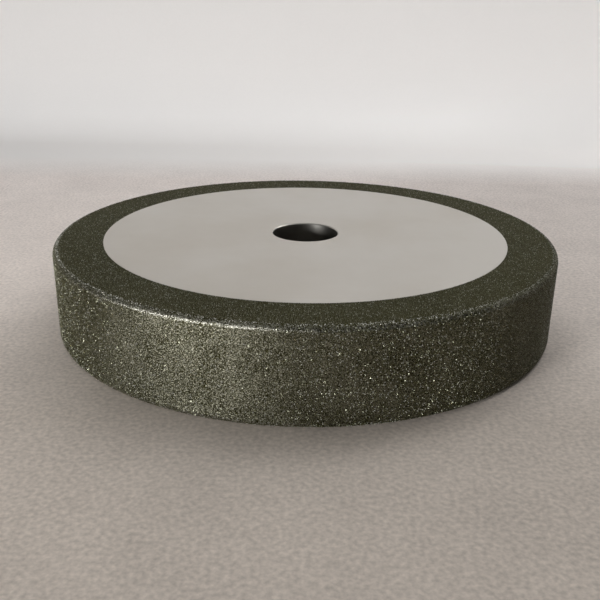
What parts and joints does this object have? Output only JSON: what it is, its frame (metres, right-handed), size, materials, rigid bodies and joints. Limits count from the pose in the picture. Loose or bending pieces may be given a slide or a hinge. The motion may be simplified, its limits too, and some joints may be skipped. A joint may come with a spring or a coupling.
{
  "type": "diamond grinding wheel",
  "caption": "Flat grinding wheel with a plain through bore, bare faces, and diamond grains plated over the rim, rounded corners and outer face bands.",
  "frame": {"origin": "centre of the wheel: on the bore's axis, half way through the width", "axes": "+Z along the bore's axis, out of the upper face; X and Y lie across the wheel, which is round, so any turn about Z is the same"},
  "size_m": [0.15, 0.15, 0.0262],
  "materials": {
    "core_steel": "satin",
    "nickel": "satin",
    "diamond": "gloss"
  },
  "bodies": {
    "root": {"core": "core_steel", "nickel_bond": "nickel", "rim_grit": "diamond", "top_face_grit": "diamond", "bottom_face_grit": "diamond"}
  },
  "joints": []
}
